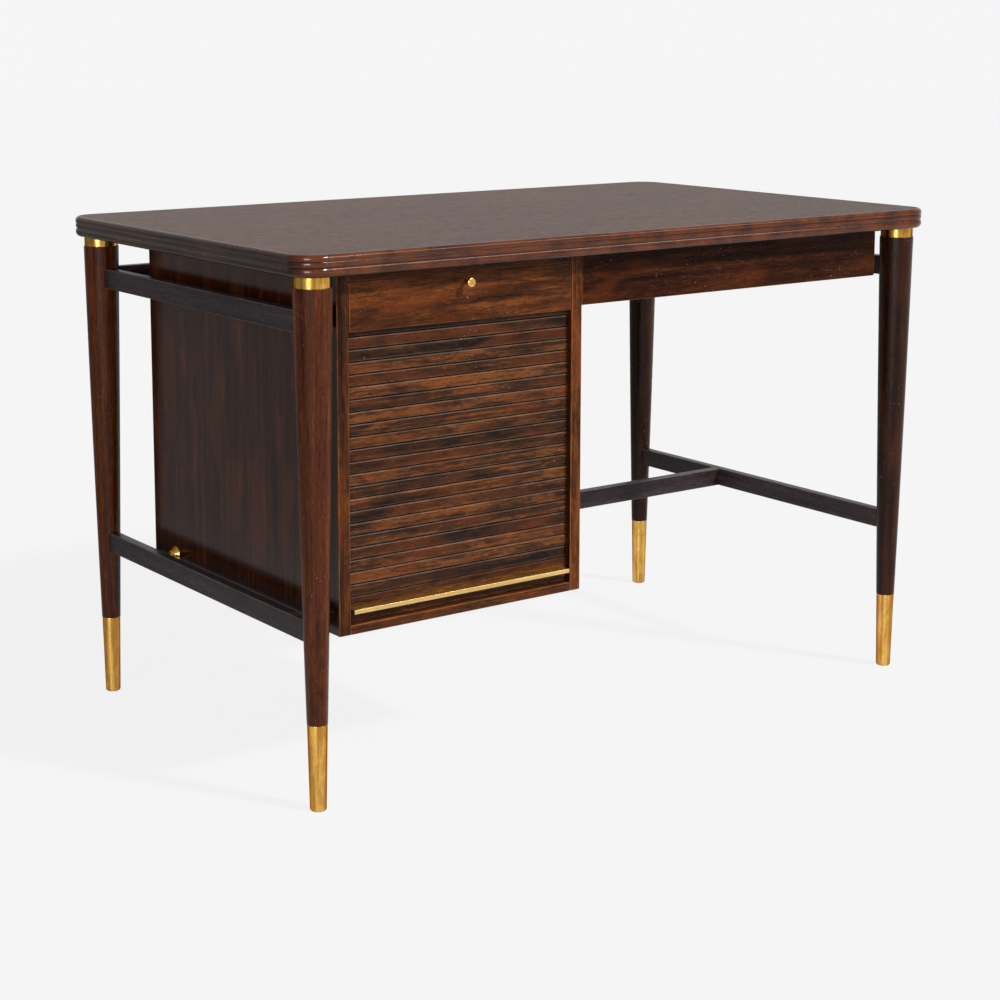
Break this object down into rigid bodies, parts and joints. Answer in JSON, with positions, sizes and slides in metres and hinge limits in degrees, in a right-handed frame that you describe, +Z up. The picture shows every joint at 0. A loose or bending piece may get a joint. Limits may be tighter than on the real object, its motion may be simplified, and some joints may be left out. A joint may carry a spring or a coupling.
{
  "type": "tambour desk",
  "caption": "Writing desk on turned tapering legs with brass feet, with a pedestal holding a drawer and a roll-up slatted shutter, a shallow pencil drawer and flat rails.",
  "frame": {"origin": "on the floor under the middle of the desktop", "axes": "+X to the right along the length, +Y from the sitter to the back, +Z up"},
  "size_m": [1.16, 0.692, 0.75],
  "materials": {
    "top_wood": "dark brown stained hardwood, satin lacquer",
    "case_wood": "dark brown stained hardwood veneer, glossy lacquer",
    "front_wood": "dark red-brown stained hardwood, satin lacquer",
    "slat_wood": "streaked red-brown stained hardwood, satin lacquer",
    "leg_wood": "dark brown stained hardwood, glossy lacquer",
    "rail_wood": "near-black stained hardwood, satin lacquer",
    "lining_wood": "plain mid-brown hardwood, waxed",
    "brass": "brushed and slightly tarnished"
  },
  "bodies": {
    "desk": {"back_rail": "rail_wood", "brass_spacers": "brass", "desktop": "top_wood", "dust_panel": "lining_wood", "ferrule_back_left": "brass", "ferrule_back_right": "brass", "ferrule_front_left": "brass", "ferrule_front_right": "brass", "leg_back_left": "leg_wood", "leg_back_right": "leg_wood", "leg_collars": "brass", "leg_front_left": "leg_wood", "leg_front_right": "leg_wood", "pedestal_back": "case_wood", "pedestal_bottom": "case_wood", "pedestal_front_rail": "case_wood", "pedestal_side_left": "case_wood", "pedestal_side_right": "case_wood", "pencil_runner_left": "lining_wood", "pencil_runner_right": "lining_wood", "side_rail_lower_left": "rail_wood", "side_rail_lower_right": "rail_wood", "side_rail_upper_left": "rail_wood", "side_rail_upper_right": "rail_wood", "stretcher": "rail_wood"},
    "drawer": {"drawer_back": "lining_wood", "drawer_bottom": "lining_wood", "drawer_front": "front_wood", "drawer_knob": "brass", "drawer_side_left": "lining_wood", "drawer_side_right": "lining_wood"},
    "pencil_drawer": {"pencil_drawer_back": "lining_wood", "pencil_drawer_bottom": "lining_wood", "pencil_drawer_front": "front_wood", "pencil_drawer_side_left": "lining_wood", "pencil_drawer_side_right": "lining_wood"},
    "shutter_lead": {"tambour_lead_rail": "slat_wood", "tambour_pull": "brass", "tambour_slat_01": "slat_wood", "tambour_slat_02": "slat_wood", "tambour_slat_03": "slat_wood", "tambour_slat_04": "slat_wood"},
    "slat_05": {"tambour_slat_05": "slat_wood"},
    "slat_06": {"tambour_slat_06": "slat_wood"},
    "slat_07": {"tambour_slat_07": "slat_wood"},
    "slat_08": {"tambour_slat_08": "slat_wood"},
    "slat_09": {"tambour_slat_09": "slat_wood"},
    "slat_10": {"tambour_slat_10": "slat_wood"},
    "slat_11": {"tambour_slat_11": "slat_wood"},
    "slat_12": {"tambour_slat_12": "slat_wood"},
    "slat_13": {"tambour_slat_13": "slat_wood"},
    "slat_14": {"tambour_slat_14": "slat_wood"},
    "slat_15": {"tambour_slat_15": "slat_wood"},
    "slat_16": {"tambour_slat_16": "slat_wood"},
    "slat_17": {"tambour_slat_17": "slat_wood"},
    "slat_18": {"tambour_slat_18": "slat_wood"},
    "slat_19": {"tambour_slat_19": "slat_wood"},
    "slat_20": {"tambour_slat_20": "slat_wood"},
    "slat_21": {"tambour_slat_21": "slat_wood"},
    "slat_22": {"tambour_slat_22": "slat_wood"}
  },
  "joints": [
    {"name": "drawer_slide", "type": "slide", "parent": "desk", "child": "drawer", "axis": [0, -1, 0], "range_m": [0, 0.34]},
    {"name": "pencil_drawer_slide", "type": "slide", "parent": "desk", "child": "pencil_drawer", "axis": [0, -1, 0], "range_m": [0, 0.25]},
    {"name": "shutter_slide", "type": "slide", "parent": "desk", "child": "shutter_lead", "axis": [0, 0, 1], "range_m": [0, 0.27]},
    {"name": "slat_05_hinge", "type": "hinge", "parent": "shutter_lead", "child": "slat_05", "pos_m": [-0.3035, -0.2946, 0.3491], "axis": [-1, 0, 0], "range_deg": [0, 27.39]},
    {"name": "slat_06_hinge", "type": "hinge", "parent": "slat_05", "child": "slat_06", "pos_m": [-0.3035, -0.2946, 0.3658], "axis": [-1, 0, 0], "range_deg": [0, 27.58]},
    {"name": "slat_07_hinge", "type": "hinge", "parent": "slat_06", "child": "slat_07", "pos_m": [-0.3035, -0.2946, 0.3825], "axis": [-1, 0, 0], "range_deg": [0, 27.93]},
    {"name": "slat_08_hinge", "type": "hinge", "parent": "slat_07", "child": "slat_08", "pos_m": [-0.3035, -0.2946, 0.3992], "axis": [-1, 0, 0], "range_deg": [0, 28.41]},
    {"name": "slat_09_hinge", "type": "hinge", "parent": "slat_08", "child": "slat_09", "pos_m": [-0.3035, -0.2946, 0.4159], "axis": [-1, 0, 0], "range_deg": [0, 28.99]},
    {"name": "slat_10_hinge", "type": "hinge", "parent": "slat_09", "child": "slat_10", "pos_m": [-0.3035, -0.2946, 0.4326], "axis": [-1, 0, 0], "range_deg": [0, 29.68]},
    {"name": "slat_11_hinge", "type": "hinge", "parent": "slat_10", "child": "slat_11", "pos_m": [-0.3035, -0.2946, 0.4493], "axis": [-1, 0, 0], "range_deg": [0, 30.49]},
    {"name": "slat_12_hinge", "type": "hinge", "parent": "slat_11", "child": "slat_12", "pos_m": [-0.3035, -0.2946, 0.466], "axis": [-1, 0, 0], "range_deg": [0, 31.41]},
    {"name": "slat_13_hinge", "type": "hinge", "parent": "slat_12", "child": "slat_13", "pos_m": [-0.3035, -0.2946, 0.4827], "axis": [-1, 0, 0], "range_deg": [0, 32.47]},
    {"name": "slat_14_hinge", "type": "hinge", "parent": "slat_13", "child": "slat_14", "pos_m": [-0.3035, -0.2946, 0.4994], "axis": [-1, 0, 0], "range_deg": [0, 33.68]},
    {"name": "slat_15_hinge", "type": "hinge", "parent": "slat_14", "child": "slat_15", "pos_m": [-0.3035, -0.2946, 0.5161], "axis": [-1, 0, 0], "range_deg": [0, 35.06]},
    {"name": "slat_16_hinge", "type": "hinge", "parent": "slat_15", "child": "slat_16", "pos_m": [-0.3035, -0.2946, 0.5328], "axis": [-1, 0, 0], "range_deg": [0, 36.64]},
    {"name": "slat_17_hinge", "type": "hinge", "parent": "slat_16", "child": "slat_17", "pos_m": [-0.3035, -0.2946, 0.5495], "axis": [-1, 0, 0], "range_deg": [0, 38.45]},
    {"name": "slat_18_hinge", "type": "hinge", "parent": "slat_17", "child": "slat_18", "pos_m": [-0.3035, -0.2946, 0.5662], "axis": [-1, 0, 0], "range_deg": [0, 40.54]},
    {"name": "slat_19_hinge", "type": "hinge", "parent": "slat_18", "child": "slat_19", "pos_m": [-0.3035, -0.2946, 0.5829], "axis": [-1, 0, 0], "range_deg": [0, 42.97]},
    {"name": "slat_20_hinge", "type": "hinge", "parent": "slat_19", "child": "slat_20", "pos_m": [-0.3035, -0.2946, 0.5996], "axis": [-1, 0, 0], "range_deg": [0, 45.81]},
    {"name": "slat_21_hinge", "type": "hinge", "parent": "slat_20", "child": "slat_21", "pos_m": [-0.3035, -0.2946, 0.6163], "axis": [-1, 0, 0], "range_deg": [0, 49.17]},
    {"name": "slat_22_hinge", "type": "hinge", "parent": "slat_21", "child": "slat_22", "pos_m": [-0.3035, -0.2946, 0.633], "axis": [-1, 0, 0], "range_deg": [0, 53.21]}
  ],
  "couplings": [
    {"joint": "slat_05_hinge", "follows": "shutter_slide", "rad_per_m": 1.7672},
    {"joint": "slat_06_hinge", "follows": "shutter_slide", "rad_per_m": 1.7795},
    {"joint": "slat_07_hinge", "follows": "shutter_slide", "rad_per_m": 1.8025},
    {"joint": "slat_08_hinge", "follows": "shutter_slide", "rad_per_m": 1.8332},
    {"joint": "slat_09_hinge", "follows": "shutter_slide", "rad_per_m": 1.8709},
    {"joint": "slat_10_hinge", "follows": "shutter_slide", "rad_per_m": 1.9156},
    {"joint": "slat_11_hinge", "follows": "shutter_slide", "rad_per_m": 1.9676},
    {"joint": "slat_12_hinge", "follows": "shutter_slide", "rad_per_m": 2.0274},
    {"joint": "slat_13_hinge", "follows": "shutter_slide", "rad_per_m": 2.0958},
    {"joint": "slat_14_hinge", "follows": "shutter_slide", "rad_per_m": 2.1739},
    {"joint": "slat_15_hinge", "follows": "shutter_slide", "rad_per_m": 2.2631},
    {"joint": "slat_16_hinge", "follows": "shutter_slide", "rad_per_m": 2.3651},
    {"joint": "slat_17_hinge", "follows": "shutter_slide", "rad_per_m": 2.4822},
    {"joint": "slat_18_hinge", "follows": "shutter_slide", "rad_per_m": 2.6173},
    {"joint": "slat_19_hinge", "follows": "shutter_slide", "rad_per_m": 2.7742},
    {"joint": "slat_20_hinge", "follows": "shutter_slide", "rad_per_m": 2.958},
    {"joint": "slat_21_hinge", "follows": "shutter_slide", "rad_per_m": 3.1755},
    {"joint": "slat_22_hinge", "follows": "shutter_slide", "rad_per_m": 3.4362}
  ]
}
